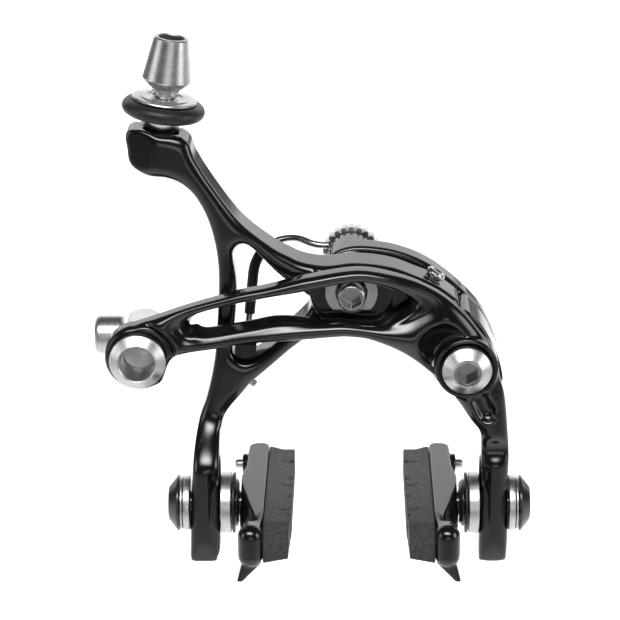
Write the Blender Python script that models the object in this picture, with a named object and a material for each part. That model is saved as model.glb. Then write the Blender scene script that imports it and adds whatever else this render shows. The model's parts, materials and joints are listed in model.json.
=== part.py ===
"""Dual-pivot rim brake caliper for a road bicycle, as an assembly of separate pieces.

X runs across the wheel, Y from the front of the caliper back towards the fork, Z up.
The origin is on the centre bolt's axis, on the rear face that bears on the fork.
Design values are in millimetres and MM turns them into metres.
"""

import math

import bmesh
import bpy
from mathutils import Vector

MM = 0.001
TAU = 2.0 * math.pi
RUN = 0.3  # clearance that touching pieces keep

# Depth planes, rear to front
WASHER_FACE = -3.0
BRACKET_REAR = -9.7
BRACKET_FRONT = -15.7
ADJUSTER_ARM_REAR = -16.8
ADJUSTER_ARM_FRONT = -26.3
ANCHOR_ARM_REAR = -28.0
ANCHOR_ARM_FRONT = -33.6
BLADE_REAR = -24.2
BLADE_FRONT = -33.8

# Pivots and axes in the X-Z plane
SIDE_PIVOT = (23.7, -14.6)
ANCHOR_AXIS = (-43.8, -12.7)
ANCHOR_EYE_R = 7.0
CLAMP_AXIS = (-21.5, -11.4)  # Y and Z of the cable clamp bolt, which lies along X
PIVOT_BORE = 4.05
PIVOT_PIN = 2.9
BUSH_OUTER = 3.75
BUSH_INNER = 3.2

# Barrel adjuster: foot of its axis and its lean from the vertical
ADJUSTER_FOOT = (-38.76, -21.5, 32.02)
ADJUSTER_LEAN = math.radians(8.0)

# Small screws in the adjuster arm
SCREW_PLACE = (17.2, -20.4, 1.1)
SCREW_AXIS = (0.54, 0.0, 0.84)
TENSION_PLACE = (-22.0, -19.6, -22.0)
TENSION_AXIS = (0.72, 0.0, -0.69)

# Pads
PAD_Y = -29.0
PAD_Z = -46.7
SLOT_HALF = 2.8
SLOT_TOP = -39.0
SLOT_BOTTOM = -49.2
RUBBER_DEPTH = 5.4
HOLDER_DEPTH = 4.4
BOSS_DEPTH = 0.9
RUBBER_LENGTH = 43.5
RUBBER_HEIGHT = 7.0
HOLDER_LENGTH = 45.6
HOLDER_HEIGHT = 8.0
PAD_SCREW = (0, -11.5, PAD_Z + 1.2)

# Finishes: base colour, metallic, roughness
FINISHES = {
    "black_gloss": ((0.012, 0.012, 0.013), 0.4, 0.18),
    "silver": ((0.72, 0.72, 0.71), 1.0, 0.28),
    "steel": ((0.60, 0.60, 0.60), 1.0, 0.22),
    "dark_gloss": ((0.05, 0.05, 0.052), 0.8, 0.2),
    "pad_rubber": ((0.035, 0.035, 0.036), 0.0, 0.85),
    "ring_rubber": ((0.02, 0.02, 0.02), 0.0, 0.6),
    "black_plastic": ((0.02, 0.02, 0.02), 0.0, 0.45),
}


# ---------------------------------------------------------------- helpers


def clear_scene():
    for item in list(bpy.data.objects):
        bpy.data.objects.remove(item, do_unlink=True)


def finish(name):
    found = bpy.data.materials.get(name)
    if found:
        return found
    colour, metallic, roughness = FINISHES[name]
    material = bpy.data.materials.new(name)
    material.use_nodes = True
    shader = material.node_tree.nodes["Principled BSDF"]
    shader.inputs["Base Color"].default_value = (*colour, 1.0)
    shader.inputs["Metallic"].default_value = metallic
    shader.inputs["Roughness"].default_value = roughness
    return material


def arc(centre, radius, start, end, count):
    """Points on a circle, from one angle to another in degrees."""
    step = math.radians(end - start) / (count - 1)
    first = math.radians(start)
    return [
        (centre[0] + radius * math.cos(first + k * step), centre[1] + radius * math.sin(first + k * step))
        for k in range(count)
    ]


def circle(centre, radius, count=24):
    return arc(centre, radius, 0.0, 360.0, count + 1)[:-1]


def catmull_rom(a, b, c, d, t):
    """Point between b and c on the smooth curve through four points."""
    squared = (2 * a - 5 * b + 4 * c - d) * t**2
    cubed = (3 * b - a - 3 * c + d) * t**3
    return 0.5 * (2 * b + (c - a) * t + squared + cubed)


def spline(points, steps):
    """Closed smooth curve through flat points."""
    count = len(points)
    curve = []
    for k in range(count):
        corners = [Vector(points[(k + j) % count]) for j in (-1, 0, 1, 2)]
        curve += [tuple(catmull_rom(*corners, j / steps)) for j in range(steps)]
    return curve


def spline_open(points, steps):
    """Smooth curve through points in space, ends included."""
    padded = [2 * points[0] - points[1], *points, 2 * points[-1] - points[-2]]
    route = []
    for k in range(1, len(padded) - 2):
        route += [catmull_rom(*padded[k - 1 : k + 3], j / steps) for j in range(steps)]
    return [*route, points[-1]]


def build(name, bm, finish_name, location=(0, 0, 0), rotation=None, smooth=True):
    """Turns a bmesh in millimetres into a named object in metres."""
    bmesh.ops.remove_doubles(bm, verts=bm.verts, dist=1e-4)
    bmesh.ops.recalc_face_normals(bm, faces=bm.faces)
    bmesh.ops.scale(bm, vec=(MM, MM, MM), verts=bm.verts)
    mesh = bpy.data.meshes.new(name)
    bm.to_mesh(mesh)
    bm.free()
    if smooth:
        mesh.shade_smooth()
        mesh.set_sharp_from_angle(angle=math.radians(35))
    mesh.materials.append(finish(finish_name))
    item = bpy.data.objects.new(name, mesh)
    bpy.context.collection.objects.link(item)
    item.location = Vector(location) * MM
    if rotation:
        item.rotation_euler = rotation.to_euler()
    return item


def axis_rotation(direction):
    """Rotation that takes local +Z to the direction."""
    return Vector((0, 0, 1)).rotation_difference(Vector(direction)).to_matrix()


def add_prism(bm, outline, low, high, holes=(), to_point=lambda u, v, w: (u, w, v)):
    """Closed prism of a flat outline with holes, between two levels of the third axis."""
    edges = []
    for loop in (outline, *holes):
        ring = [bm.verts.new(to_point(u, v, low)) for u, v in loop]
        edges += [bm.edges.new((ring[k], ring[(k + 1) % len(ring)])) for k in range(len(ring))]
    filled = bmesh.ops.triangle_fill(bm, edges=edges, use_beauty=True)
    faces = [f for f in filled["geom"] if isinstance(f, bmesh.types.BMFace)]
    pushed = bmesh.ops.extrude_face_region(bm, geom=faces)
    moved = [v for v in pushed["geom"] if isinstance(v, bmesh.types.BMVert)]
    step = Vector(to_point(0, 0, high)) - Vector(to_point(0, 0, low))
    bmesh.ops.translate(bm, vec=step, verts=moved)
    return moved


def plate(name, outline, rear, front, finish_name, holes=(), pivot=(0.0, 0.0), levels=(), shape=None):
    """Flat arm in the X-Z plane. Levels are heights where shape(x, y, z) may bend it."""
    bm = bmesh.new()
    add_prism(bm, outline, front, rear, holes)
    for level in levels:
        everything = bm.verts[:] + bm.edges[:] + bm.faces[:]
        bmesh.ops.bisect_plane(bm, geom=everything, dist=1e-5, plane_co=(0, 0, level), plane_no=(0, 0, 1))
    bmesh.ops.triangulate(bm, faces=bm.faces)
    if shape:
        for vert in bm.verts:
            vert.co.y = shape(*vert.co)
    bmesh.ops.translate(bm, vec=(-pivot[0], 0, -pivot[1]), verts=bm.verts)
    return build(name, bm, finish_name, location=(pivot[0], 0, pivot[1]))


def turned(name, profile, finish_name, location, direction, steps=32):
    """Body of revolution about the direction through the location.

    The profile is a list of (radius, distance along the axis). It is closed unless
    it starts and ends on the axis.
    """
    bm = bmesh.new()
    verts = [bm.verts.new((radius, 0, along)) for radius, along in profile]
    count = len(verts)
    on_axis = profile[0][0] == 0 and profile[-1][0] == 0
    edges = [bm.edges.new((verts[k], verts[(k + 1) % count])) for k in range(count - on_axis)]
    turn = {"cent": (0, 0, 0), "axis": (0, 0, 1), "angle": TAU, "steps": steps}
    bmesh.ops.spin(bm, geom=verts + edges, use_merge=True, use_duplicate=False, **turn)
    return build(name, bm, finish_name, location, axis_rotation(direction))


def ring(name, inner, outer, low, high, finish_name, location, direction, steps=32):
    profile = [(inner, low), (outer, low), (outer, high), (inner, high)]
    return turned(name, profile, finish_name, location, direction, steps)


def hide(cutter):
    cutter.hide_render = True
    cutter.display_type = "WIRE"
    return cutter


def boolean(target, cutter, operation="DIFFERENCE"):
    step = target.modifiers.new(operation.lower(), "BOOLEAN")
    step.operation = operation
    step.solver = "EXACT"
    step.object = hide(cutter)


def hex_socket(target, across_flats, low, high, location, direction):
    """Cuts a hexagon socket between two distances along the axis."""
    bm = bmesh.new()
    outline = circle((0, 0), across_flats / math.sqrt(3), 6)
    add_prism(bm, outline, low, high, to_point=lambda u, v, w: (u, v, w))
    boolean(target, build(target.name + "_socket", bm, "steel", location, axis_rotation(direction), False))


def drill(target, label, radius, low, high, location, direction, steps=24):
    cutter = turned(
        f"{target.name}_{label}",
        [(0, high), (radius, high), (radius, low), (0, low)],
        "steel",
        location,
        direction,
        steps,
    )
    boolean(target, cutter)


def smoothstep(value):
    t = min(1.0, max(0.0, value))
    return t * t * (3 - 2 * t)


def blend_depth(y, z, levels, front, rear):
    """Moves a depth from one pair of planes to the blade's, over the given heights."""
    share = smoothstep((levels[0] - z) / (levels[0] - levels[-1]))
    goal = BLADE_FRONT if abs(y - front) < abs(y - rear) else BLADE_REAR
    return y + (goal - y) * share


# ---------------------------------------------------------------- fixed pieces


def pivot_bracket():
    hub = arc((0, 0), 5.8, 150, 250, 7)
    outline = (
        hub[::-1]
        + [(-3.4, 4.7), (0, 5.8), (4.5, 5.75), (9.8, 4.8), (15.8, 2.3), (21.6, -2.0), (26.4, -7.0)]
        + [(29.4, -12.0), (31.2, -17.5), (31.4, -21.0)]
        + arc(SIDE_PIVOT, 9.0, -50, -115, 5)
        + [(16.0, -17.0), (11.0, -11.5), (6.0, -7.8), (2.0, -6.4)]
    )
    bracket = plate("pivot_bracket", spline(outline, 2), BRACKET_REAR, BRACKET_FRONT, "black_gloss")
    boss_outline = [
        (23.1, -4.2), (25.8, -6.2), (27.8, -8.8), (29.4, -12.0), (31.0, -16.0), (31.5, -20.5),
        (28.5, -22.6), (24.0, -23.4), (19.0, -21.0), (16.4, -17.0), (16.8, -12.0), (19.2, -7.4),
    ]
    boss = plate("side_boss", spline(boss_outline, 2), BRACKET_FRONT + 0.6, -27.0, "black_gloss")
    boolean(bracket, boss, "UNION")
    rear_boss = turned(
        "rear_boss",
        [(0, 0), (5.3, 0), (5.3, 7.2), (0, 7.2)],
        "black_gloss",
        (0, BRACKET_REAR - 0.8, 0),
        (0, 1, 0),
    )
    boolean(bracket, rear_boss, "UNION")
    drill(bracket, "stud_hole", PIVOT_PIN + RUN, -30, 0, (0, 0, 0), (0, 1, 0))
    drill(bracket, "pin_hole", PIVOT_PIN + RUN, -30, 0, (SIDE_PIVOT[0], 0, SIDE_PIVOT[1]), (0, 1, 0))
    return bracket


def centre_bolt():
    """Stud on the caliper's centre line, with a hexagon socket in its front end."""
    front, rear = -31.3, 8.5
    profile = [
        (0, rear), (2.5, rear), (PIVOT_PIN, rear - 0.6), (PIVOT_PIN, front + 0.5), (2.5, front), (0, front),
    ]
    bolt = turned("centre_bolt", profile, "steel", (0, 0, 0), (0, 1, 0), 24)
    hex_socket(bolt, 4.0, front - 1, front + 3, (0, 0, 0), (0, 1, 0))
    return bolt


def centre_locknut():
    """Thin nut with two flats that holds the adjuster arm on its bush."""
    bm = bmesh.new()
    radius, flat = 5.5, 3.7
    half = math.degrees(math.asin(flat / radius))
    outline = arc((0, 0), radius, -half, half, 6) + arc((0, 0), radius, 180 - half, 180 + half, 6)
    front = ADJUSTER_ARM_FRONT - RUN
    add_prism(bm, outline, front, front - 1.1, [circle((0, 0), PIVOT_PIN + RUN)])
    return build("centre_locknut", bm, "silver")


def serrated_washer():
    """Toothed washer that grips the fork, its rear face at the origin's plane."""
    bm = bmesh.new()
    teeth = 22
    outline = []
    for k in range(teeth):
        for share, radius in ((0.0, 5.7), (0.3, 6.25), (0.62, 6.25)):
            angle = TAU * (k + share) / teeth
            outline.append((radius * math.cos(angle), radius * math.sin(angle)))
    add_prism(bm, outline, 0.0, WASHER_FACE, [circle((0, 0), PIVOT_PIN + RUN)])
    return build("serrated_washer", bm, "silver", smooth=False)


def side_pivot_bolt():
    rim, nose = -34.4, -36.2
    profile = [
        (0, nose), (3.0, nose), (5.1, rim), (5.1, rim + 1.2), (PIVOT_PIN, rim + 1.2),
        (PIVOT_PIN, -11.0), (0, -11.0),
    ]
    location = (SIDE_PIVOT[0], 0, SIDE_PIVOT[1])
    bolt = turned("side_pivot_bolt", profile, "silver", location, (0, 1, 0))
    hex_socket(bolt, 4.2, nose - 1, nose + 3.2, location, (0, 1, 0))
    return bolt


def return_spring():
    """Steel wire from the bracket's rear boss, behind the arm and down to its seat."""
    out = [
        (-4.9, -7.8, 3.7), (-6.6, -7.8, 3.75), (-8.6, -7.8, 4.2), (-10.9, -8.0, 5.2), (-13.2, -8.6, 5.6),
        (-15.9, -9.6, 5.3), (-18.6, -11.2, 3.9), (-20.4, -12.6, 1.0), (-21.0, -13.8, -3.0), (-21.4, -14.8, -7.0),
        (-21.8, -15.4, -11.0),
    ]
    route = spline_open([Vector(p) for p in out], 4)
    curve = bpy.data.curves.new("return_spring", "CURVE")
    curve.dimensions = "3D"
    curve.bevel_depth = 0.75 * MM
    curve.bevel_resolution = 2
    curve.use_fill_caps = True
    wire = curve.splines.new("POLY")
    wire.points.add(len(route) - 1)
    for target, point in zip(wire.points, route):
        target.co = (*(point * MM), 1.0)
    curve.materials.append(finish("steel"))
    item = bpy.data.objects.new("return_spring", curve)
    bpy.context.collection.objects.link(item)
    return item


def spacers():
    """Thin washers between the bracket and the two arms."""
    ring("thrust_washer", PIVOT_PIN + RUN, 5.2, -16.6, -15.95, "steel", (0, 0, 0), (0, 1, 0), 24)
    location = (SIDE_PIVOT[0], 0, SIDE_PIVOT[1])
    ring("side_thrust_washer", PIVOT_PIN + RUN, 5.2, -27.8, -27.2, "steel", location, (0, 1, 0), 24)


# ---------------------------------------------------------------- adjuster arm


def adjuster_arm():
    outline = [
        (-44.7, 33.5), (-45.3, 29.2), (-44.6, 26.4), (-41.3, 24.2), (-37.9, 23.8), (-35.1, 22.8), (-32.9, 21.1),
        (-31.3, 19.0), (-29.6, 15.6), (-28.3, 11.2), (-27.5, 6.0), (-27.4, 0.0), (-27.9, -7.8), (-28.4, -14.0),
        (-29.3, -19.5), (-30.6, -24.8), (-32.0, -28.8), (-32.8, -33.5), (-33.1, -40.0), (-33.6, -47.0),
        (-34.0, -55.0), (-34.1, -57.2), (-33.4, -58.0), (-29.1, -58.0), (-28.4, -57.2), (-27.75, -54.0),
        (-27.75, -33.0), (-27.4, -30.6),
        (-26.9, -28.6), (-25.4, -26.2), (-22.8, -23.1), (-21.0, -20.9), (-17.2, -17.5), (-10.7, -11.8), (-5.0, -8.6),
        (0.0, -7.6), (6.0, -7.4), (12.0, -7.6), (18.0, -6.6), (21.6, -4.4), (22.2, -3.0), (20.8, -1.6),
        (17.4, 0.8), (12.7, 2.9), (9.0, 4.3), (5.0, 5.1), (0.0, 5.4), (-5.3, 4.8), (-9.9, 5.5), (-12.8, 6.8),
        (-16.2, 8.7), (-21.5, 12.9), (-24.8, 16.7), (-29.4, 23.5), (-31.9, 27.9), (-34.3, 32.1),
    ]
    window = [
        (-22.3, 9.7), (-24.0, 8.6), (-24.4, 6.6), (-23.7, 0.5), (-24.2, -7.0), (-24.9, -13.0), (-24.2, -15.2),
        (-22.0, -16.2), (-19.2, -15.0), (-15.7, -12.0), (-11.0, -7.4), (-8.8, -4.9), (-8.3, -2.7),
        (-9.4, -1.2), (-14.9, 3.0), (-20.0, 8.4),
    ]
    levels = (-12.0, -18.0, -22.0, -26.0, -30.0, -36.0)

    def depth(_, y, z):
        return blend_depth(y, z, levels, ADJUSTER_ARM_FRONT, ADJUSTER_ARM_REAR)

    arm = plate(
        "adjuster_arm", outline, ADJUSTER_ARM_REAR, ADJUSTER_ARM_FRONT, "black_gloss",
        [spline(window, 2)], (0, 0), levels, depth,
    )
    drill(arm, "pivot_hole", PIVOT_BORE, -40, 0, (0, 0, 0), (0, 1, 0))
    lean = (math.sin(ADJUSTER_LEAN), 0, math.cos(ADJUSTER_LEAN))
    drill(arm, "adjuster_hole", 3.1, -7.0, 6.0, ADJUSTER_FOOT, lean)
    drill(arm, "screw_hole", 1.5, -9.0, 4.0, SCREW_PLACE, SCREW_AXIS, 16)
    drill(arm, "tension_hole", 1.05, -6.0, 3.0, TENSION_PLACE, TENSION_AXIS, 12)
    slot(arm, -31.0)
    return arm


def slot(arm, middle_x):
    """Height slot for the pad bolt, cut through the blade along X."""
    bm = bmesh.new()
    outline = arc((PAD_Y, SLOT_TOP), SLOT_HALF, 0, 180, 9) + arc((PAD_Y, SLOT_BOTTOM), SLOT_HALF, 180, 360, 9)
    add_prism(bm, outline, middle_x - 6, middle_x + 6, to_point=lambda u, v, w: (w, u, v))
    boolean(arm, build(arm.name + "_slot", bm, "steel", smooth=False))


def adjuster_seat():
    """Domed foot that the adjuster turns on, set in the top of the arm."""
    lean = (math.sin(ADJUSTER_LEAN), 0, math.cos(ADJUSTER_LEAN))
    profile = [(2.05, 3.4), (3.9, 3.4), (3.7, 2.5), (2.8, 1.0), (2.8, -6.2), (2.05, -6.2)]
    return turned("adjuster_seat", profile, "silver", ADJUSTER_FOOT, lean, 28)


def centring_screw():
    profile = [(0, 1.5), (1.7, 1.5), (2.1, 1.1), (2.1, 0.35), (1.2, 0.35), (1.2, -6.6), (0, -6.6)]
    screw = turned("centring_screw", profile, "silver", SCREW_PLACE, SCREW_AXIS, 24)
    hex_socket(screw, 2.0, 0.5, 3.0, SCREW_PLACE, SCREW_AXIS)
    return screw


def spring_hardware():
    profile = [(0, 2.2), (0.8, 2.2), (0.8, -4.0), (0, -4.0)]
    turned("spring_tension_screw", profile, "silver", TENSION_PLACE, TENSION_AXIS, 16)
    bm = bmesh.new()
    outline = arc((-22.0, -13.3), 2.15, 180, 360, 10) + [(-19.9, -12.0), (-24.1, -12.0)]
    add_prism(bm, outline, -25.6, -17.4)
    build("spring_seat", bm, "black_plastic")


def pivot_bushes():
    """Plain bushes that the arms turn on."""
    for name, place, front, rear in (
        ("adjuster_arm_bush", (0, 0), ADJUSTER_ARM_FRONT, ADJUSTER_ARM_REAR),
        ("anchor_arm_bush", SIDE_PIVOT, -32.6, ANCHOR_ARM_REAR),
    ):
        ring(name, BUSH_INNER, BUSH_OUTER, front, rear, "steel", (place[0], 0, place[1]), (0, 1, 0), 24)


# ---------------------------------------------------------------- barrel adjuster


def barrel_adjuster():
    lean = (math.sin(ADJUSTER_LEAN), 0, math.cos(ADJUSTER_LEAN))
    disc = [
        (2.05, 3.9), (3.9, 3.9), (4.9, 4.1), (4.9, 7.0), (6.6, 7.1), (6.6, 7.7), (4.2, 7.95), (3.6, 7.7),
        (2.05, 7.7),
    ]
    turned("adjuster_disc", disc, "silver", ADJUSTER_FOOT, lean)
    middle, radius, half_width, half_height = 5.4, 6.85, 1.6, 1.55
    section = [
        (radius + half_width * math.cos(TAU * k / 10), middle + half_height * math.sin(TAU * k / 10))
        for k in range(10)
    ]
    turned("adjuster_ring", section, "ring_rubber", ADJUSTER_FOOT, lean)
    barrel = [
        (0.9, -4.0), (1.75, -4.0), (1.75, 8.3), (2.7, 8.3), (2.7, 9.6), (3.1, 10.0), (4.95, 11.5),
        (4.95, 11.9), (3.5, 20.0), (3.3, 20.2), (2.65, 20.2), (2.65, 12.6), (0.9, 12.6),
    ]
    turned("adjuster_barrel", barrel, "silver", ADJUSTER_FOOT, lean)


# ---------------------------------------------------------------- anchor arm


def anchor_arm():
    eye = arc(ANCHOR_AXIS, ANCHOR_EYE_R, 92, 312, 16)
    outline = eye + [
        (-37.4, -13.6), (-34.7, -12.0), (-28.2, -10.9), (-21.0, -9.7), (-10.5, -8.9), (-2.3, -8.2), (0.5, -8.3),
        (3.4, -8.7), (7.6, -10.3), (12.4, -13.1), (16.7, -16.4), (19.6, -19.5), (22.1, -22.4), (24.9, -26.6),
        (26.7, -29.0), (27.15, -31.5), (27.15, -38.0), (27.05, -47.0), (27.1, -57.2), (27.8, -58.1),
        (32.1, -58.1), (32.8, -57.2), (33.0, -50.0), (32.9, -41.0), (32.9, -34.3), (32.5, -28.3), (31.8, -21.4),
        (30.8, -17.6), (29.9, -14.0), (28.1, -10.3), (26.0, -7.2), (22.6, -3.0), (18.2, 0.75), (12.4, 3.7),
        (6.7, 5.4), (2.0, 6.1), (-2.4, 5.75), (-8.1, 4.7), (-10.6, 4.2), (-16.9, 2.4), (-22.7, 1.2),
        (-27.1, -0.1), (-32.9, -1.8), (-38.1, -3.6),
    ]
    window = [
        (-36.6, -6.2), (-35.1, -4.3), (-32.3, -3.0), (-26.6, -1.25), (-18.0, 0.9), (-10.4, 2.4), (-3.7, 3.35),
        (1.9, 3.8), (6.2, 3.15), (10.4, 1.85), (13.6, 0.9), (16.4, -0.5), (17.1, -1.5), (16.3, -2.6),
        (13.7, -4.1), (10.9, -5.4), (7.2, -6.1), (3.8, -5.9), (-0.5, -5.4), (-5.2, -5.5), (-10.9, -6.0),
        (-16.5, -6.7), (-22.2, -7.7), (-30.8, -9.1), (-33.5, -9.2), (-35.0, -8.5),
    ]
    levels = (-22.0, -26.0, -30.0)

    def depth(_, y, z):
        return blend_depth(y, z, levels, ANCHOR_ARM_FRONT, ANCHOR_ARM_REAR)

    arm = plate(
        "anchor_arm", outline, ANCHOR_ARM_REAR, ANCHOR_ARM_FRONT, "black_gloss",
        [window], SIDE_PIVOT, levels, depth,
    )
    pivot = (SIDE_PIVOT[0], 0, SIDE_PIVOT[1])
    drill(arm, "pivot_hole", PIVOT_BORE, -40, 0, pivot, (0, 1, 0))
    drill(arm, "head_recess", 5.7, -40, -32.9, pivot, (0, 1, 0), 32)
    drill(arm, "eye_hole", 5.3, -40, 0, (ANCHOR_AXIS[0], 0, ANCHOR_AXIS[1]), (0, 1, 0), 28)
    slot(arm, 30.0)
    return arm


def cable_anchor():
    """Swivelling barrel in the arm's eye, with a flat that the clamp bolt presses the cable on."""
    rim, nose, rear = -34.3, -35.8, -16.4
    profile = [
        (0, -28.4), (3.65, -28.4), (3.65, nose), (5.8, rim), (5.8, rim + 0.4), (4.95, rim + 0.4), (4.95, -27.4),
        (4.4, -27.4), (4.4, -26.4), (4.95, -26.4), (4.95, rear + 0.5), (4.5, rear), (0, rear),
    ]
    anchor = turned(
        "cable_anchor", profile, "silver", (ANCHOR_AXIS[0], 0, ANCHOR_AXIS[1]), (0, 1, 0)
    )
    bm = bmesh.new()
    half = 8.0
    square = [(-half - 3.3, -half), (-3.3, -half), (-3.3, half), (-half - 3.3, half)]
    add_prism(bm, square, -26.0, -10.0)
    boolean(anchor, build("anchor_flat", bm, "steel", (ANCHOR_AXIS[0], 0, ANCHOR_AXIS[1]), smooth=False))
    drill(anchor, "clamp_hole", 2.6, -12, 3.4, (ANCHOR_AXIS[0], *CLAMP_AXIS), (1, 0, 0), 20)
    return anchor


def anchor_clip():
    """Open ring that keeps the barrel in the eye."""
    bm = bmesh.new()
    outline = arc((0, 0), 6.1, -60, 240, 25) + arc((0, 0), 4.7, 240, -60, 25)
    add_prism(bm, outline, -27.2, -26.6)
    return build("anchor_clip", bm, "steel", (ANCHOR_AXIS[0], 0, ANCHOR_AXIS[1]))


def clamp_bolt():
    head_out, head_in, tip = -53.6, -47.75, -40.7
    profile = [
        (0, head_out), (3.3, head_out), (4.0, head_out + 0.7), (4.0, head_in - 0.5), (3.6, head_in),
        (2.3, head_in), (2.3, tip), (0, tip),
    ]
    bolt = turned("clamp_bolt", profile, "silver", (0, *CLAMP_AXIS), (1, 0, 0), 28)
    hex_socket(bolt, 5.0, head_out - 1, head_out + 3.2, (0, *CLAMP_AXIS), (1, 0, 0))
    return bolt


# ---------------------------------------------------------------- pads


class Pad:
    """Distances outwards from the wheel of one side's pad, and the blade it is clamped to."""

    def __init__(self, side, sign, face, blade_inner, blade_outer):
        self.side = side
        self.sign = sign
        self.face = face
        self.rubber_back = face + RUBBER_DEPTH
        self.holder_front = self.rubber_back + RUN
        self.holder_back = self.holder_front + HOLDER_DEPTH
        self.tip = self.holder_back + BOSS_DEPTH
        self.blade_inner = blade_inner
        self.blade_outer = blade_outer
        self.place = (0, PAD_Y, PAD_Z)
        self.outward = (sign, 0, 0)

    def prism(self, bm, outline, near, far):
        """Prism of a side-view outline between two distances from the wheel."""
        add_prism(bm, outline, self.sign * near, self.sign * far, to_point=lambda u, v, w: (w, u, v))


def pad_hardware(pad):
    """Bolt and washers either side of a blade."""
    shank = 2.4
    start = pad.blade_outer + RUN
    profile = [
        (0, pad.tip - 3.0), (shank, pad.tip - 3.0), (shank, start + 1.95), (5.9, start + 1.95),
        (5.9, start + 2.3), (3.5, start + 4.3), (0, start + 4.3),
    ]
    bolt = turned(f"{pad.side}_pad_bolt", profile, "dark_gloss", pad.place, pad.outward)
    hex_socket(bolt, 4.0, start + 2.6, start + 6.0, pad.place, pad.outward)
    bore = shank + RUN

    def washer(label, outer, low, high, finish_name):
        ring(f"{pad.side}_{label}", bore, outer, low, high, finish_name, pad.place, pad.outward, 28)

    washer("outer_washer", 5.8, start, start + 1.1, "silver")
    washer("bolt_collar", 5.6, start + 1.3, start + 1.75, "silver")
    spacer_end = pad.blade_inner - RUN
    spacer_start = spacer_end - 2.1
    washer("spacer_washer", 6.45, spacer_start, spacer_end, "silver")
    dish_end = spacer_start - RUN
    dish_start = dish_end - 0.5
    washer("dished_washer", 6.4, dish_start, dish_end, "black_plastic")
    washer("domed_washer", 5.6, pad.tip + RUN, dish_start - RUN, "silver")


def pad_holder(pad):
    """Channel shoe with a bullet nose, a boss for the bolt and a tyre guide fin."""
    bm = bmesh.new()
    half = HOLDER_HEIGHT / 2
    front = PAD_Y - HOLDER_LENGTH / 2
    rear = PAD_Y + HOLDER_LENGTH / 2
    outline = arc((front + half, PAD_Z), half, 90, 270, 11)
    outline += [(rear - 1.0, PAD_Z - half), (rear, PAD_Z - half + 1.0)]
    outline += [(rear, PAD_Z + half - 1.0), (rear - 1.0, PAD_Z + half)]
    pad.prism(bm, outline, pad.holder_front, pad.holder_back)
    holder = build(f"{pad.side}_pad_holder", bm, "black_gloss")
    profile = [(0, pad.holder_back - 1.0), (5.6, pad.holder_back - 1.0), (3.8, pad.tip), (0, pad.tip)]
    boss = turned(f"{pad.side}_boss", profile, "black_gloss", pad.place, pad.outward, 28)
    boolean(holder, boss, "UNION")
    fin = bmesh.new()
    low = PAD_Z - half
    fin_outline = [
        (pad.holder_front, low + 0.6), (pad.holder_back - 0.3, low + 0.6), (pad.holder_back + 1.0, low - 3.2),
        (pad.holder_back + 0.4, low - 3.6), (pad.holder_front, low - 0.2),
    ]
    add_prism(fin, [(pad.sign * x, z) for x, z in fin_outline], front + 3.4, front + 9.0)
    boolean(holder, build(f"{pad.side}_fin", fin, "black_gloss", smooth=False), "UNION")
    drill(holder, "bolt_hole", 2.7, pad.tip - 3.4, pad.tip + 1, pad.place, pad.outward)
    drill(holder, "screw_hole", 1.3, pad.holder_back - 2.4, pad.holder_back + 2, PAD_SCREW, pad.outward, 16)
    return holder


def pad_rubber(pad):
    """Brake block with a rounded upper front end and wear grooves across its face."""
    bm = bmesh.new()
    half = RUBBER_HEIGHT / 2
    front = PAD_Y - RUBBER_LENGTH / 2
    rear = PAD_Y + RUBBER_LENGTH / 2
    outline = [
        (front, PAD_Z - half), (rear, PAD_Z - half), (rear, PAD_Z + half),
        (front + 2.2, PAD_Z + half), (front + 0.7, PAD_Z + half - 0.7), (front, PAD_Z + half - 2.2),
    ]
    pad.prism(bm, outline, pad.face, pad.rubber_back)
    block = build(f"{pad.side}_pad_rubber", bm, "pad_rubber", smooth=False)
    grooves = bmesh.new()
    for k in range(4):
        middle = PAD_Y - 13.6 + 9.1 * k
        low, high = PAD_Z - half - 1, PAD_Z + half + 1
        groove = [(middle - 0.45, low), (middle + 0.45, low), (middle + 0.45, high), (middle - 0.45, high)]
        pad.prism(grooves, groove, pad.face - 1, pad.face + 0.9)
    boolean(block, build(f"{pad.side}_grooves", grooves, "pad_rubber", smooth=False))
    return block


def pad_screw(pad):
    inner, outer = pad.holder_back - 2.1, pad.holder_back + 1.8
    profile = [(0, inner), (1.0, inner), (1.0, outer), (0, outer)]
    return turned(f"{pad.side}_pad_screw", profile, "silver", PAD_SCREW, pad.outward, 16)


def pads():
    for pad in (Pad("left", -1, 12.4, 27.75, 34.0), Pad("right", 1, 11.4, 27.15, 33.1)):
        pad_hardware(pad)
        pad_holder(pad)
        pad_rubber(pad)
        pad_screw(pad)


def main():
    clear_scene()
    pivot_bracket()
    centre_bolt()
    centre_locknut()
    serrated_washer()
    side_pivot_bolt()
    return_spring()
    spacers()
    adjuster_arm()
    adjuster_seat()
    centring_screw()
    spring_hardware()
    pivot_bushes()
    barrel_adjuster()
    anchor_arm()
    cable_anchor()
    anchor_clip()
    clamp_bolt()
    pads()


main()
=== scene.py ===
"""Looks of a dual-pivot rim brake caliper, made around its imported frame.

Lengths are in millimetres until a mesh is made, and MM turns them into metres.
X runs across the wheel, Y towards the fork, Z up, with the origin on the centre bolt.
The forged pieces are signed distances on a grid, cut and rounded like clay, then meshed.
The turned pieces are profiles spun about their axes.
"""

import json
import math

import bmesh
import bpy
import numpy as np
import openvdb
from mathutils import Matrix, Vector

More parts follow.
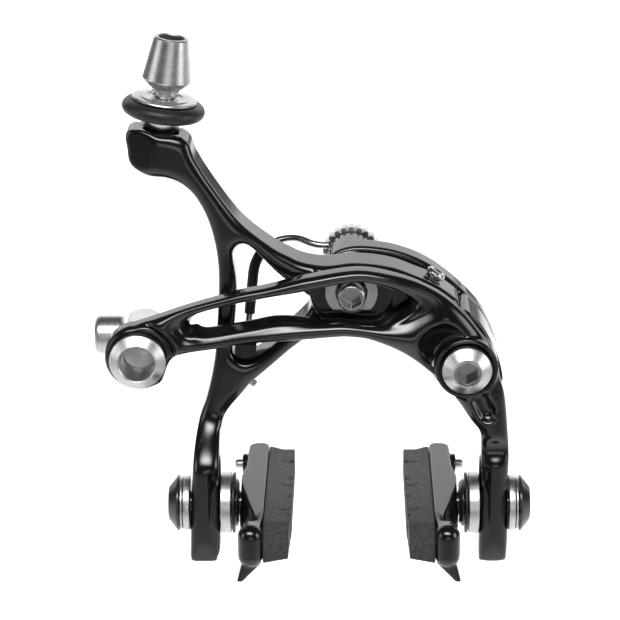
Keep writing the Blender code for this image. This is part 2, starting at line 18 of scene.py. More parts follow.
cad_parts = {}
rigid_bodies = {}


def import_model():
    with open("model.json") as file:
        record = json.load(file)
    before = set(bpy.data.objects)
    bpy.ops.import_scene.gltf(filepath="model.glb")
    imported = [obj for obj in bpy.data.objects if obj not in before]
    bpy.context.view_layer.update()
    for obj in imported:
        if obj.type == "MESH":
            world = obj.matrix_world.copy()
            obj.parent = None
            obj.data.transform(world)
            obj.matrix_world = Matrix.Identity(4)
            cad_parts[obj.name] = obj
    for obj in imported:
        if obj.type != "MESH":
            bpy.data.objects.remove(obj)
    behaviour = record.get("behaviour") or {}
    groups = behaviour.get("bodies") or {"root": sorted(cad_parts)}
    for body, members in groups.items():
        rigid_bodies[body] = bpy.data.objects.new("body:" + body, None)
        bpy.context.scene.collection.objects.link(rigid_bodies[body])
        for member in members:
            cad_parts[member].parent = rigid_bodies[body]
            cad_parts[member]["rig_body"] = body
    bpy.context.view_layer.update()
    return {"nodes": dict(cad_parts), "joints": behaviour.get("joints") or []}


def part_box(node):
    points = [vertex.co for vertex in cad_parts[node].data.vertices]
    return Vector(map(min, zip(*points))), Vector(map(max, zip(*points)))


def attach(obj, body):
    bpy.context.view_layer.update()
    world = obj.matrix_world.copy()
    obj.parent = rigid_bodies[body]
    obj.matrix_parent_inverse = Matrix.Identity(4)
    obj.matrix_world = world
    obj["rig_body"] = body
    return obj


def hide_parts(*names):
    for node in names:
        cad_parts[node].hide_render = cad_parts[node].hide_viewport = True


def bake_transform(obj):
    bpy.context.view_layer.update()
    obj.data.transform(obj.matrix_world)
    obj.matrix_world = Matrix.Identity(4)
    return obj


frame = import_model()

MM = 0.001
TAU = 2.0 * math.pi
ARM_PITCH = 0.27
PAD_PITCH = 0.2
STEPS = 96

# ---------------------------------------------------------------- places, from the frame


def box_mm(node):
    low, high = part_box(node)
    return Vector(low) / MM, Vector(high) / MM


def middle_mm(node):
    low, high = box_mm(node)
    return (low + high) / 2


def joint(name):
    return next(j for j in frame["joints"] if j["name"] == name)


def joint_place(name):
    return Vector(joint(name)["pos_m"]) / MM


SIDE_PIVOT = joint_place("anchor_arm_pivot")
ANCHOR_EYE = joint_place("cable_anchor_swivel")
CLAMP = joint_place("clamp_bolt_turn")
FOOT = joint_place("adjuster_wheel_turn")
LEAN = Vector(joint("adjuster_wheel_turn")["axis"])
SCREW = joint_place("centring_screw_turn")
SCREW_AXIS = Vector(joint("centring_screw_turn")["axis"])
TENSION = joint_place("tension_screw_turn")
TENSION_AXIS = Vector(joint("tension_screw_turn")["axis"])
PAD_Y, PAD_Z = joint_place("left_pad_angle")[1:]
BLADE_FRONT, BLADE_REAR = -33.8, -24.2
ANCHOR_FRONT, ANCHOR_REAR = -33.6, -28.0
ADJUSTER_FRONT, ADJUSTER_REAR = -26.3, -16.8
BRACKET_FRONT, BRACKET_REAR = -15.7, -9.7
SLOT_TOP, SLOT_BOTTOM, SLOT_HALF = -39.0, -49.2, 2.8
CENTRE = (0, 0, 0)
ALONG_Y = (0, 1, 0)
SIDE_AXIS = (SIDE_PIVOT.x, 0, SIDE_PIVOT.z)
PIN_HOLE, BUSH_HOLE, BOLT_HOLE = 3.2, 4.05, 2.7

# ---------------------------------------------------------------- curves


def catmull_rom(a, b, c, d, t):
    squared = (2 * a - 5 * b + 4 * c - d) * t**2
    cubed = (3 * b - a - 3 * c + d) * t**3
    return 0.5 * (2 * b + (c - a) * t + squared + cubed)


def spline(points, steps=4):
    """Closed smooth curve through flat points."""
    count = len(points)
    curve = []
    for k in range(count):
        corners = [Vector(points[(k + j) % count]) for j in (-1, 0, 1, 2)]
        curve += [tuple(catmull_rom(*corners, j / steps)) for j in range(steps)]
    return curve


def spline_open(points, steps):
    padded = [2 * points[0] - points[1], *points, 2 * points[-1] - points[-2]]
    route = []
    for k in range(1, len(padded) - 2):
        route += [catmull_rom(*padded[k - 1 : k + 3], j / steps) for j in range(steps)]
    return [*route, points[-1]]


def arc(centre, radius, start, end, count):
    angles = [math.radians(start + (end - start) * k / (count - 1)) for k in range(count)]
    return [(centre[0] + radius * math.cos(a), centre[1] + radius * math.sin(a)) for a in angles]


# ---------------------------------------------------------------- distance fields


def smoothstep(value):
    t = np.clip(value, 0.0, 1.0)
    return t * t * (3 - 2 * t)


def between(z, top, bottom, above, below):
    """Value that eases from one at the top height to another at the bottom height."""
    return above + (below - above) * smoothstep((top - z) / (top - bottom))


def both(a, b, radius):
    """Intersection of two solids with the edge between them rounded."""
    u, v = np.maximum(a + radius, 0), np.maximum(b + radius, 0)
    return np.minimum(np.maximum(a, b), -radius) + np.sqrt(u * u + v * v)


def either(a, b, radius):
    """Union of two solids with a fillet between them."""
    return -both(-a, -b, radius)


def cut(a, b, radius):
    return both(a, -b, radius)


def loop_distance(loops, u, v):
    """Signed distance to flat loops over a grid, negative inside."""
    u, v = np.meshgrid(u, v, indexing="ij")
    nearest = np.full(u.shape, 1e9, np.float32)
    inside = np.zeros(u.shape, bool)
    for loop in loops:
        for (au, av), (bu, bv) in zip(loop, [*loop[1:], loop[0]]):
            du, dv = bu - au, bv - av
            t = np.clip(((u - au) * du + (v - av) * dv) / (du * du + dv * dv + 1e-12), 0, 1)
            nearest = np.minimum(nearest, (u - au - t * du) ** 2 + (v - av - t * dv) ** 2)
            if dv:
                inside ^= ((av > v) != (bv > v)) & (u < du * (v - av) / dv + au)
    return np.where(inside, -1.0, 1.0) * np.sqrt(nearest)


def blurred(values, sigma):
    """Gaussian blur of a flat grid."""
    reach = int(3 * sigma + 1)
    weights = np.exp(-0.5 * (np.arange(-reach, reach + 1) / sigma) ** 2)
    weights /= weights.sum()
    for axis in (0, 1):
        padded = np.pad(values, [(reach, reach) if k == axis else (0, 0) for k in (0, 1)], mode="edge")
        values = np.apply_along_axis(lambda row: np.convolve(row, weights, "valid"), axis, padded)
    return values


class Clay:
    """A grid of millimetre cells round a CAD node, and the solids that are made in it."""

    def __init__(self, node, pitch, spare=0.6):
        low, high = box_mm(node)
        self.node = node
        self.pitch = pitch
        self.low = [value - spare for value in low]
        axes = [np.arange(a, b + spare + pitch, pitch) for a, b in zip(self.low, high)]
        self.lines = axes
        self.x = axes[0][:, None, None]
        self.y = axes[1][None, :, None]
        self.z = axes[2][None, None, :]

    def side(self, *loops):
        """Distance to loops in the X-Z plane."""
        return loop_distance(loops, self.lines[0], self.lines[2])[:, None, :]

    def profile(self, *loops):
        """Distance to loops in the Y-Z plane."""
        return loop_distance(loops, self.lines[1], self.lines[2])[None, :, :]

    def plan(self, *loops):
        """Distance to loops in the X-Y plane."""
        return loop_distance(loops, self.lines[0], self.lines[1])[:, :, None]

    def ball(self, centre, radius):
        x, y, z = centre
        return np.sqrt((self.x - x) ** 2 + (self.y - y) ** 2 + (self.z - z) ** 2) - radius

    def bar(self, start, end, radius):
        """Distance to a round-ended bar."""
        a, d = np.array(start, float), np.array(end, float) - np.array(start, float)
        offsets = [self.x - a[0], self.y - a[1], self.z - a[2]]
        t = np.clip(sum(o * c for o, c in zip(offsets, d)) / (d @ d), 0, 1)
        return np.sqrt(sum((o - t * c) ** 2 for o, c in zip(offsets, d))) - radius

    def rod(self, place, axis, radius, low=-100.0, high=100.0, edge=0.05):
        """Distance to a cylinder about an axis through a place, between two distances along it."""
        place, axis = np.array(place, float), np.array(axis, float)
        axis = axis / np.linalg.norm(axis)
        offsets = [self.x - place[0], self.y - place[1], self.z - place[2]]
        along = sum(o * c for o, c in zip(offsets, axis))
        across = np.sqrt(np.maximum(sum((o - along * c) ** 2 for o, c in zip(offsets, axis)), 0))
        return both(across - radius, np.maximum(low - along, along - high), edge)

    def slab(self, outline, front, rear, front_edge, rear_edge):
        return both(both(outline, front - self.y, front_edge), self.y - rear, rear_edge)

    def make(self, solid, material):
        """Meshes the solid's surface as the piece that stands for the node."""
        shape = (len(self.lines[0]), len(self.lines[1]), len(self.lines[2]))
        reach = 3 * self.pitch
        values = np.clip(np.broadcast_to(solid, shape), -reach, reach).astype(np.float32)
        grid = openvdb.FloatGrid(reach)
        grid.copyFromArray(np.ascontiguousarray(values))
        points, triangles, quads = grid.convertToPolygons(isovalue=0.0, adaptivity=0.0)
        slopes = np.stack(np.gradient(eased(values.astype(np.float64))), axis=-1)
        normals = sample(slopes, points)
        normals /= np.linalg.norm(normals, axis=1, keepdims=True) + 1e-12
        places = (points * self.pitch + np.array(self.low)) * MM
        faces = [tuple(f) for f in quads] + [tuple(f) for f in triangles]
        a, b, c = (places[np.array([f[k] for f in faces])] for k in range(3))
        first = np.array([f[0] for f in faces])
        outward = np.einsum("ij,ij->i", np.cross(b - a, c - a), normals[first]).sum() > 0
        if not outward:
            faces = [f[::-1] for f in faces]
        mesh = bpy.data.meshes.new(self.node + "_forged")
        mesh.from_pydata(places.tolist(), [], faces)
        mesh.update()
        mesh.shade_smooth()
        mesh.normals_split_custom_set_from_vertices(normals.tolist())
        item = bpy.data.objects.new(self.node + "_forged", mesh)
        bpy.context.scene.collection.objects.link(item)
        return stand_in(item, self.node, material)


def eased(values, passes=2):
    """Evens out a grid of distances, so that highlights run smoothly over narrow edges."""
    for axis in range(3):
        for _ in range(passes):
            moved = np.swapaxes(values, 0, axis)
            inner = (moved[:-2] + 2 * moved[1:-1] + moved[2:]) / 4
            values = np.swapaxes(np.concatenate([moved[:1], inner, moved[-1:]]), 0, axis)
    return values


def sample(grid, points):
    """Values of a grid of vectors at places between its cells."""
    limit = np.array(grid.shape[:3]) - 2
    cell = np.clip(np.floor(points).astype(int), 0, limit)
    share = points - cell
    total = np.zeros((len(points), grid.shape[3]))
    for corner in np.ndindex(2, 2, 2):
        weight = np.prod(np.where(corner, share, 1 - share), axis=1)
        i, j, k = (cell + np.array(corner)).T
        total += weight[:, None] * grid[i, j, k]
    return total


def stand_in(item, node, material):
    """Gives a piece its material, makes it ride with its node's body and hides the plain solid."""
    item.data.materials.clear()
    item.data.materials.append(material)
    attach(item, frame["nodes"][node]["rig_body"])
    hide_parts(node)
    return item


# ---------------------------------------------------------------- materials


def new_material(name, **settings):
    material = bpy.data.materials.new(name)
    material.use_nodes = True
    shader = material.node_tree.nodes["Principled BSDF"]
    for socket, value in settings.items():
        shader.inputs[socket.replace("_", " ")].default_value = value
    return material, shader


def add(material, kind, **settings):
    node = material.node_tree.nodes.new(kind)
    for name, value in settings.items():
        if hasattr(node, name):
            setattr(node, name, value)
        else:
            node.inputs[name.replace("_", " ")].default_value = value
    return node


def link(material, source, target):
    material.node_tree.links.new(source, target)


def object_noise(material, scale, detail=2.0, stretch=(1, 1, 1)):
    place = add(material, "ShaderNodeTexCoord")
    mapping = add(material, "ShaderNodeMapping")
    mapping.inputs["Scale"].default_value = stretch
    noise = add(material, "ShaderNodeTexNoise", Scale=scale, Detail=detail)
    link(material, place.outputs["Object"], mapping.inputs["Vector"])
    link(material, mapping.outputs["Vector"], noise.inputs["Vector"])
    return noise.outputs["Fac"]


def spread(material, factor, low, high, target):
    """Turns a noise into a range of values for a socket."""
    span = add(material, "ShaderNodeMapRange", From_Min=0.3, From_Max=0.7, To_Min=low, To_Max=high)
    link(material, factor, span.inputs["Value"])
    link(material, span.outputs["Result"], target)


def tint(material, factor, dark, light, target):
    ramp = add(material, "ShaderNodeValToRGB")
    ramp.color_ramp.elements[0].position = 0.3
    ramp.color_ramp.elements[1].position = 0.7
    ramp.color_ramp.elements[0].color = (*dark, 1)
    ramp.color_ramp.elements[1].color = (*light, 1)
    link(material, factor, ramp.inputs["Fac"])
    link(material, ramp.outputs["Color"], target)


def bump(material, shader, factor, strength, depth):
    node = add(material, "ShaderNodeBump", Strength=strength, Distance=depth)
    link(material, factor, node.inputs["Height"])
    link(material, node.outputs["Normal"], shader.inputs["Normal"])


def gloss_black(name="gloss_black", low=0.10, high=0.16, base=0.004):
    """Polished black anodising: deep, with a faint haze that varies over the surface."""
    material, shader = new_material(name, IOR=1.65)
    spread(material, object_noise(material, 90.0), low, high, shader.inputs["Roughness"])
    tint(material, object_noise(material, 30.0), (base,) * 3, (base * 1.7,) * 3, shader.inputs["Base Color"])
    bump(material, shader, object_noise(material, 260.0, 1.0), 0.05, 0.00002)
    facing = add(material, "ShaderNodeLayerWeight")
    span = add(material, "ShaderNodeMapRange", From_Min=0.68, From_Max=0.9, To_Min=0.5, To_Max=0.12)
    link(material, facing.outputs["Facing"], span.inputs["Value"])
    link(material, span.outputs["Result"], shader.inputs["Specular IOR Level"])
    return material


def turned_metal(name, shade, low, high, anisotropy=0.4):
    """Bright metal off a lathe, with fine rings about the piece's own axis."""
    material, shader = new_material(name, Metallic=1.0, Anisotropic=anisotropy)
    tangent = add(material, "ShaderNodeTangent", direction_type="RADIAL", axis="Z")
    link(material, tangent.outputs["Tangent"], shader.inputs["Tangent"])
    spread(material, object_noise(material, 700.0, 3.0, (1, 1, 6)), low, high, shader.inputs["Roughness"])
    darker = tuple(c * 0.82 for c in shade)
    tint(material, object_noise(material, 300.0, 3.0, (1, 1, 8)), darker, shade, shader.inputs["Base Color"])
    bump(material, shader, object_noise(material, 2500.0, 2.0, (0.2, 0.2, 3)), 0.12, 0.00002)
    return material


def plain_metal(name, shade, low, high):
    material, shader = new_material(name, Metallic=1.0)
    spread(material, object_noise(material, 400.0), low, high, shader.inputs["Roughness"])
    darker = tuple(c * 0.85 for c in shade)
    tint(material, object_noise(material, 150.0), darker, shade, shader.inputs["Base Color"])
    bump(material, shader, object_noise(material, 1800.0), 0.08, 0.00002)
    return material


def rubber(name, dark, light, rough, grain, depth):
    material, shader = new_material(name, IOR=1.45)
    spread(material, object_noise(material, 600.0), rough - 0.08, rough + 0.06, shader.inputs["Roughness"])
    tint(material, object_noise(material, grain, 4.0), dark, light, shader.inputs["Base Color"])
    bump(material, shader, object_noise(material, grain, 5.0), 0.5, depth)
    return material


BLACK = gloss_black()
DARK_GLOSS = gloss_black("dark_gloss", 0.10, 0.18, 0.014)
PLASTIC = rubber("black_plastic", (0.010,) * 3, (0.016,) * 3, 0.42, 900.0, 0.00002)
SILVER = turned_metal("silver", (0.68, 0.68, 0.675), 0.26, 0.36)
STEEL = plain_metal("steel", (0.50, 0.50, 0.495), 0.14, 0.24)
# darker steel for the faces inside hexagon sockets: painted shade in the recesses
SOCKET_SHADE_STEEL = plain_metal("socket_painted_shade", (0.45, 0.45, 0.45), 0.12, 0.20)
BRIGHT = plain_metal("bright_zinc", (0.62, 0.62, 0.61), 0.18, 0.30)
BRAKE_RUBBER = rubber("brake_rubber", (0.026,) * 3, (0.066,) * 3, 0.70, 1900.0, 0.00016)
RING_RUBBER = rubber("ring_rubber", (0.012,) * 3, (0.018,) * 3, 0.40, 500.0, 0.00003)

# ---------------------------------------------------------------- turned pieces


def new_piece(name, bm):
    bmesh.ops.remove_doubles(bm, verts=bm.verts, dist=1e-5)
    bmesh.ops.recalc_face_normals(bm, faces=bm.faces)
    bmesh.ops.scale(bm, vec=(MM, MM, MM), verts=bm.verts)
    mesh = bpy.data.meshes.new(name)
    bm.to_mesh(mesh)
    bm.free()
    item = bpy.data.objects.new(name, mesh)
    bpy.context.scene.collection.objects.link(item)
    return item


def place_along(item, origin, direction):
    turn = Vector((0, 0, 1)).rotation_difference(Vector(direction)).to_matrix().to_4x4()
    item.matrix_world = Matrix.Translation(Vector(origin) * MM) @ turn


def apply_modifiers(item):
    bpy.context.view_layer.update()
    graph = bpy.context.evaluated_depsgraph_get()
    mesh = bpy.data.meshes.new_from_object(item.evaluated_get(graph))
    item.modifiers.clear()
    item.data = mesh


def bake_modifiers(item, sharp=38.0):
    """Applies the modifiers and sets which edges stay sharp."""
    apply_modifiers(item)
    item.data.shade_smooth()
    item.data.set_sharp_from_angle(angle=math.radians(sharp))


def flat_faces(item):
    """Keeps large faces flat-looking next to their rounded edges."""
    step = item.modifiers.new("flats", "WEIGHTED_NORMAL")
    step.keep_sharp = True
    step.weight = 100
    apply_modifiers(item)


def soften(item, width, segments=3, angle=24.0):
    edge = item.modifiers.new("edge", "BEVEL")
    edge.width = width * MM
    edge.segments = segments
    edge.limit_method = "ANGLE"
    edge.angle_limit = math.radians(angle)


def carve(item, cutter):
    cutter.matrix_world = item.matrix_world @ cutter.matrix_world
    step = item.modifiers.new("cut", "BOOLEAN")
    step.operation = "DIFFERENCE"
    step.solver = "EXACT"
    step.object = cutter
    bake_modifiers(item)
    bpy.data.objects.remove(cutter)


def spun(name, profile, steps=STEPS):
    """Body of revolution about Z. It is closed unless it starts and ends on the axis."""
    bm = bmesh.new()
    verts = [bm.verts.new((radius, 0, along)) for radius, along in profile]
    count = len(verts)
    on_axis = profile[0][0] == 0 and profile[-1][0] == 0
    edges = [bm.edges.new((verts[k], verts[(k + 1) % count])) for k in range(count - on_axis)]
    turn = {"cent": (0, 0, 0), "axis": (0, 0, 1), "angle": TAU, "steps": steps}
    bmesh.ops.spin(bm, geom=verts + edges, use_merge=True, use_duplicate=False, **turn)
    return new_piece(name, bm)


def prism(name, outline, low, high, hole=()):
    bm = bmesh.new()
    edges = []
    for loop in (outline, hole):
        ring = [bm.verts.new((u, v, low)) for u, v in loop]
        edges += [bm.edges.new((ring[k], ring[(k + 1) % len(ring)])) for k in range(len(ring))]
    filled = bmesh.ops.triangle_fill(bm, edges=edges, use_beauty=True)
    faces = [f for f in filled["geom"] if isinstance(f, bmesh.types.BMFace)]
    pushed = bmesh.ops.extrude_face_region(bm, geom=faces)
    moved = [v for v in pushed["geom"] if isinstance(v, bmesh.types.BMVert)]
    bmesh.ops.translate(bm, vec=(0, 0, high - low), verts=moved)
    return new_piece(name, bm)


def hexagon(across, turn=30.0):
    return arc((0, 0), across / math.sqrt(3), turn, turn + 300, 6)


def turned(node, profile, origin, direction, material, edge=0.12, sockets=(), pits=()):
    """Spun piece standing for a node, with hexagon sockets and round pits cut into it, and darker steel
    inside the sockets as painted shade.
    """
    item = spun(node + "_turned", profile)
    for across, low, high in sockets:
        carve(item, prism("socket", hexagon(across), low, high))
    for x, y, z, radius in pits:
        bm = bmesh.new()
        bmesh.ops.create_icosphere(bm, subdivisions=3, radius=radius)
        bmesh.ops.translate(bm, vec=(x, y, z), verts=bm.verts)
        carve(item, new_piece("pit", bm))
    place_along(item, origin, direction)
    if edge:
        soften(item, edge)
    bake_modifiers(item)
    flat_faces(item)
    stand_in(item, node, material)
    # faces inside each hexagon socket take the darker steel, which paints shade into the recess
    for across, low, high in sockets:
        item.data.materials.append(SOCKET_SHADE_STEEL)
        for face in item.data.polygons:
            along = face.center.z / MM
            if Vector(face.center[:2]).length / MM < across * 0.57 and low < along < high + 0.05:
                face.material_index = 1
    return item


def ring(node, inner, outer, low, high, origin, direction, material, edge=0.12):
    profile = [(inner, low), (outer, low), (outer, high), (inner, high)]
    return turned(node, profile, origin, direction, material, edge)


def centre_hardware():
    front, rear = (corner.y for corner in box_mm("centre_bolt"))
    thread = [(2.9 - 0.25 * (k % 2), rear - 0.8 - 0.4 * k) for k in range(18)]
    profile = [(0, rear), (2.4, rear), *thread, (2.9, front + 0.45), (2.5, front), (0, front)]
    turned("centre_bolt", profile, CENTRE, ALONG_Y, BRIGHT, 0.1, [(4.0, front - 1, front + 2.6)])
    for node, radius, place in (
        ("thrust_washer", 5.2, CENTRE), ("side_thrust_washer", 5.2, SIDE_AXIS),
        ("adjuster_arm_bush", 3.75, CENTRE), ("anchor_arm_bush", 3.75, SIDE_AXIS),
    ):
        low, high = box_mm(node)
        ring(node, PIN_HOLE, radius, low.y, high.y, place, ALONG_Y, STEEL, 0.08)
    serrated_washer()
    locknut()
    side_pivot_head()


def holed_prism(node, outline, material, edge, segments):
    """Flat piece on the centre bolt, as thick as its node, with the bolt's hole through it."""
    low, high = box_mm(node)
    item = prism(node + "_cut", outline, low.y, high.y, arc((0, 0), PIN_HOLE, 0, 352.5, 48))
    place_along(item, CENTRE, ALONG_Y)
    soften(item, edge, segments)
    bake_modifiers(item)
    flat_faces(item)
    stand_in(item, node, material)


def serrated_washer():
    """Toothed washer: sharp radial teeth round the rim and a turned face."""
    low, high = box_mm("serrated_washer")
    teeth = 22
    rim = (high.x - low.x) / 2
    outline = []
    for k in range(teeth):
        for share, radius in ((0.0, rim - 0.75), (0.22, rim - 0.05), (0.5, rim), (0.78, rim - 0.05)):
            angle = TAU * (k + share) / teeth
            outline.append((radius * math.cos(angle), radius * math.sin(angle)))
    holed_prism("serrated_washer", outline, SILVER, 0.12, 2)


def locknut():
    low, high = box_mm("centre_locknut")
    radius, flat = (high.x - low.x) / 2, (high.z - low.z) / 2
    half = math.degrees(math.asin(flat / radius))
    outline = arc((0, 0), radius, -half, half, 16) + arc((0, 0), radius, 180 - half, 180 + half, 16)
    holed_prism("centre_locknut", outline, BRIGHT, 0.2, 3)


def side_pivot_head():
    """Side pivot bolt: a shallow turned cone with a rounded lip round its socket."""
    low, high = box_mm("side_pivot_bolt")
    nose, end = low.y, high.y
    rim = nose + 1.8
    profile = [
        (0, nose + 0.55), (2.45, nose + 0.5), (2.7, nose), (3.05, nose + 0.02), (4.95, rim - 0.25),
        (5.1, rim), (5.1, rim + 1.2), (2.9, rim + 1.2), (2.9, end), (0, end),
    ]
    turned("side_pivot_bolt", profile, SIDE_AXIS, ALONG_Y, SILVER, 0.08, [(4.2, nose - 1, nose + 3.0)])


def barrel_adjuster():
    seat = [
        (2.05, 3.4), (3.85, 3.4), (3.95, 3.1), (3.8, 2.6), (3.4, 1.9), (3.0, 1.3), (2.8, 0.8),
        (2.8, -6.2), (2.05, -6.2),
    ]
    turned("adjuster_seat", seat, FOOT, LEAN, SILVER, 0.1)
    disc = [
        (2.05, 3.9), (3.9, 3.9), (4.9, 4.1), (4.9, 7.0), (6.55, 7.1), (6.65, 7.4), (6.5, 7.65), (5.2, 7.72),
        (5.0, 7.9), (4.0, 7.95), (3.6, 7.7), (2.05, 7.7),
    ]
    turned("adjuster_disc", disc, FOOT, LEAN, SILVER, 0.06)
    section = [(6.85 + 1.6 * math.cos(TAU * k / 32), 5.4 + 1.55 * math.sin(TAU * k / 32)) for k in range(32)]
    turned("adjuster_ring", section, FOOT, LEAN, RING_RUBBER, 0)
    barrel = [
        (0.9, -4.0), (1.75, -4.0), (1.75, 8.3), (2.65, 8.3), (2.75, 8.5), (2.75, 9.3), (3.0, 9.8),
        (3.5, 10.1), (4.85, 11.35), (4.98, 11.6), (4.9, 11.9), (3.52, 19.95), (3.3, 20.2), (2.8, 20.2),
        (2.65, 20.0), (2.65, 12.6), (0.9, 12.6),
    ]
    angles = [TAU * k / 4 + 0.7 for k in range(4)]
    pits = [(3.35 * math.cos(a), 3.35 * math.sin(a), 9.3, 0.95) for a in angles]
    turned("adjuster_barrel", barrel, FOOT, LEAN, SILVER, 0.06, pits=pits)


def small_screws():
    head = [
        (0, 1.5), (1.35, 1.5), (1.75, 1.35), (2.05, 1.0), (2.1, 0.7), (2.1, 0.38), (1.2, 0.35),
        (1.2, -6.6), (0, -6.6),
    ]
    turned("centring_screw", head, SCREW, SCREW_AXIS, BRIGHT, 0.05, [(2.0, 0.6, 3.0)])
    pin = [(0, 2.2), (0.6, 2.2), (0.8, 2.0), (0.8, -4.0), (0, -4.0)]
    turned("spring_tension_screw", pin, TENSION, TENSION_AXIS, BRIGHT, 0.04, [(0.8, 1.2, 3.0)])


def cable_clamp():
    low, high = box_mm("cable_anchor")
    nose, rear = low.y, high.y
    rim = nose + 1.5
    profile = [
        (0, -28.4), (3.55, -28.4), (3.65, -28.6), (3.65, nose + 0.2), (3.85, nose), (4.0, nose + 0.02),
        (5.7, rim - 0.15), (5.8, rim), (5.8, rim + 0.4), (4.95, rim + 0.4), (4.95, -27.4), (4.4, -27.4),
        (4.4, -26.4), (4.95, -26.4), (4.95, rear + 0.5), (4.5, rear), (0, rear),
    ]
    eye = (ANCHOR_EYE.x, 0, ANCHOR_EYE.z)
    item = spun("cable_anchor_turned", profile)
    place_along(item, eye, ALONG_Y)
    flat = prism("flat", [(-12, -8), (-3.3, -8), (-3.3, 8), (-12, 8)], -26.0, -10.0)
    carve(item, flat)
    hole = spun("hole", [(0, -8), (2.6, -8), (2.6, 3.4), (0, 3.4)], 48)
    inverse = item.matrix_world.inverted()
    place_along(hole, (ANCHOR_EYE.x, CLAMP.y, CLAMP.z), (1, 0, 0))
    hole.matrix_world = inverse @ hole.matrix_world
    carve(item, hole)
    soften(item, 0.08)
    bake_modifiers(item)
    flat_faces(item)
    stand_in(item, "cable_anchor", SILVER)
    clamp_bolt()
    clip = box_mm("anchor_clip")
    outline = arc((0, 0), 6.1, -60, 240, 60) + arc((0, 0), 4.7, 240, -60, 60)
    ear = prism("anchor_clip_cut", outline, clip[0].y, clip[1].y)
    place_along(ear, eye, ALONG_Y)
    soften(ear, 0.08, 2)
    bake_modifiers(ear)
    stand_in(ear, "anchor_clip", STEEL)


def clamp_bolt():
    low, high = box_mm("clamp_bolt")
    out, tip = low.x, high.x
    shoulder = out + 5.85
    profile = [
        (0, out), (2.9, out), (3.45, out + 0.15), (3.85, out + 0.55), (4.0, out + 1.1), (4.0, shoulder - 0.6),
        (3.85, shoulder - 0.2), (3.5, shoulder), (2.3, shoulder), (2.3, tip - 0.5), (2.0, tip), (0, tip),
    ]
    turned("clamp_bolt", profile, (0, CLAMP.y, CLAMP.z), (1, 0, 0), SILVER, 0.08, [(5.0, out - 1, out + 3.2)])


SPRING = [
    (-4.9, -7.8, 3.7), (-6.6, -7.8, 3.75), (-8.6, -7.8, 4.2), (-10.9, -8.0, 5.2), (-13.2, -8.6, 5.6),
    (-15.9, -9.6, 5.3), (-18.6, -11.2, 3.9), (-20.4, -12.6, 1.0), (-21.0, -13.8, -3.0), (-21.4, -14.8, -7.0),
    (-21.8, -15.4, -11.0),
]


def wire(name, points, radius, material):
    """Round wire along a fixed curved route between the bracket and the adjuster arm."""
    sides = 20
    bm = bmesh.new()
    rings = []
    for k, point in enumerate(points):
        ahead = points[min(k + 1, len(points) - 1)] - points[max(k - 1, 0)]
        turn = Vector((0, 0, 1)).rotation_difference(ahead)
        rings.append([
            bm.verts.new(point + turn @ Vector((radius * math.cos(a), radius * math.sin(a), 0)))
            for a in (TAU * j / sides for j in range(sides))
        ])
    for a, b in zip(rings, rings[1:]):
        shift = min(range(sides), key=lambda s: (a[0].co - b[s].co).length)
        b[:] = b[shift:] + b[:shift]
        for j in range(sides):
            bm.faces.new((a[j], a[(j + 1) % sides], b[(j + 1) % sides], b[j]))
    bm.faces.new(rings[0][::-1])
    bm.faces.new(rings[-1])
    item = new_piece(name, bm)
    item.data.shade_smooth()
    item.data.set_sharp_from_angle(angle=math.radians(50))
    item.data.materials.append(material)
    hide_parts("return_spring")
    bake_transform(item)


def return_spring():
    """Bright wire with a black sleeve over its lower half."""
    steps, sleeve_start, sleeve_end = 8, 48, 77
    points = spline_open([Vector(p) for p in SPRING], steps)
    wire("return_spring_wire", points, 0.75, STEEL)
    wire("return_spring_sleeve", points[sleeve_start:sleeve_end], 1.15, PLASTIC)


# ---------------------------------------------------------------- forged pieces

ANCHOR_OUTLINE = [
    (-37.4, -13.6), (-34.7, -12.0), (-28.2, -10.9), (-21.0, -9.7), (-10.5, -8.9), (-2.3, -8.2), (0.5, -8.3),
    (3.4, -8.7), (7.6, -10.3), (12.4, -13.1), (16.7, -16.4), (19.6, -19.5), (22.1, -22.4), (24.9, -26.6),
    (26.7, -29.0), (27.15, -31.5), (27.15, -38.0), (27.05, -47.0), (27.05, -57.8), (27.8, -58.8),
    (32.1, -58.8), (32.9, -57.8), (33.05, -50.0), (32.9, -41.0), (32.9, -34.3), (32.5, -28.3), (31.8, -21.4),
    (30.8, -17.6), (29.9, -14.0), (28.1, -10.3), (26.0, -7.2), (22.6, -3.0), (18.2, 0.75), (12.4, 3.7),
    (6.7, 5.4), (2.0, 6.1), (-2.4, 5.75), (-8.1, 4.7), (-10.6, 4.2), (-16.9, 2.4), (-22.7, 1.2),
    (-27.1, -0.1), (-32.9, -1.8), (-38.1, -3.6),
]
ANCHOR_WINDOW = [
    (-36.6, -6.2), (-35.1, -4.3), (-32.3, -3.0), (-26.6, -1.5), (-18.0, 0.2), (-10.4, 1.5), (-3.7, 2.9),
    (1.9, 3.8), (6.2, 3.15), (10.4, 1.85), (13.6, 0.9), (16.4, -0.5), (17.1, -1.5), (16.3, -2.6),
    (13.7, -4.1), (10.9, -5.4), (7.2, -6.1), (3.8, -5.9), (-0.5, -5.4), (-5.2, -5.5), (-10.9, -6.0),
    (-16.5, -6.7), (-22.2, -7.7), (-30.8, -9.1), (-33.5, -9.2), (-35.0, -8.5),
]
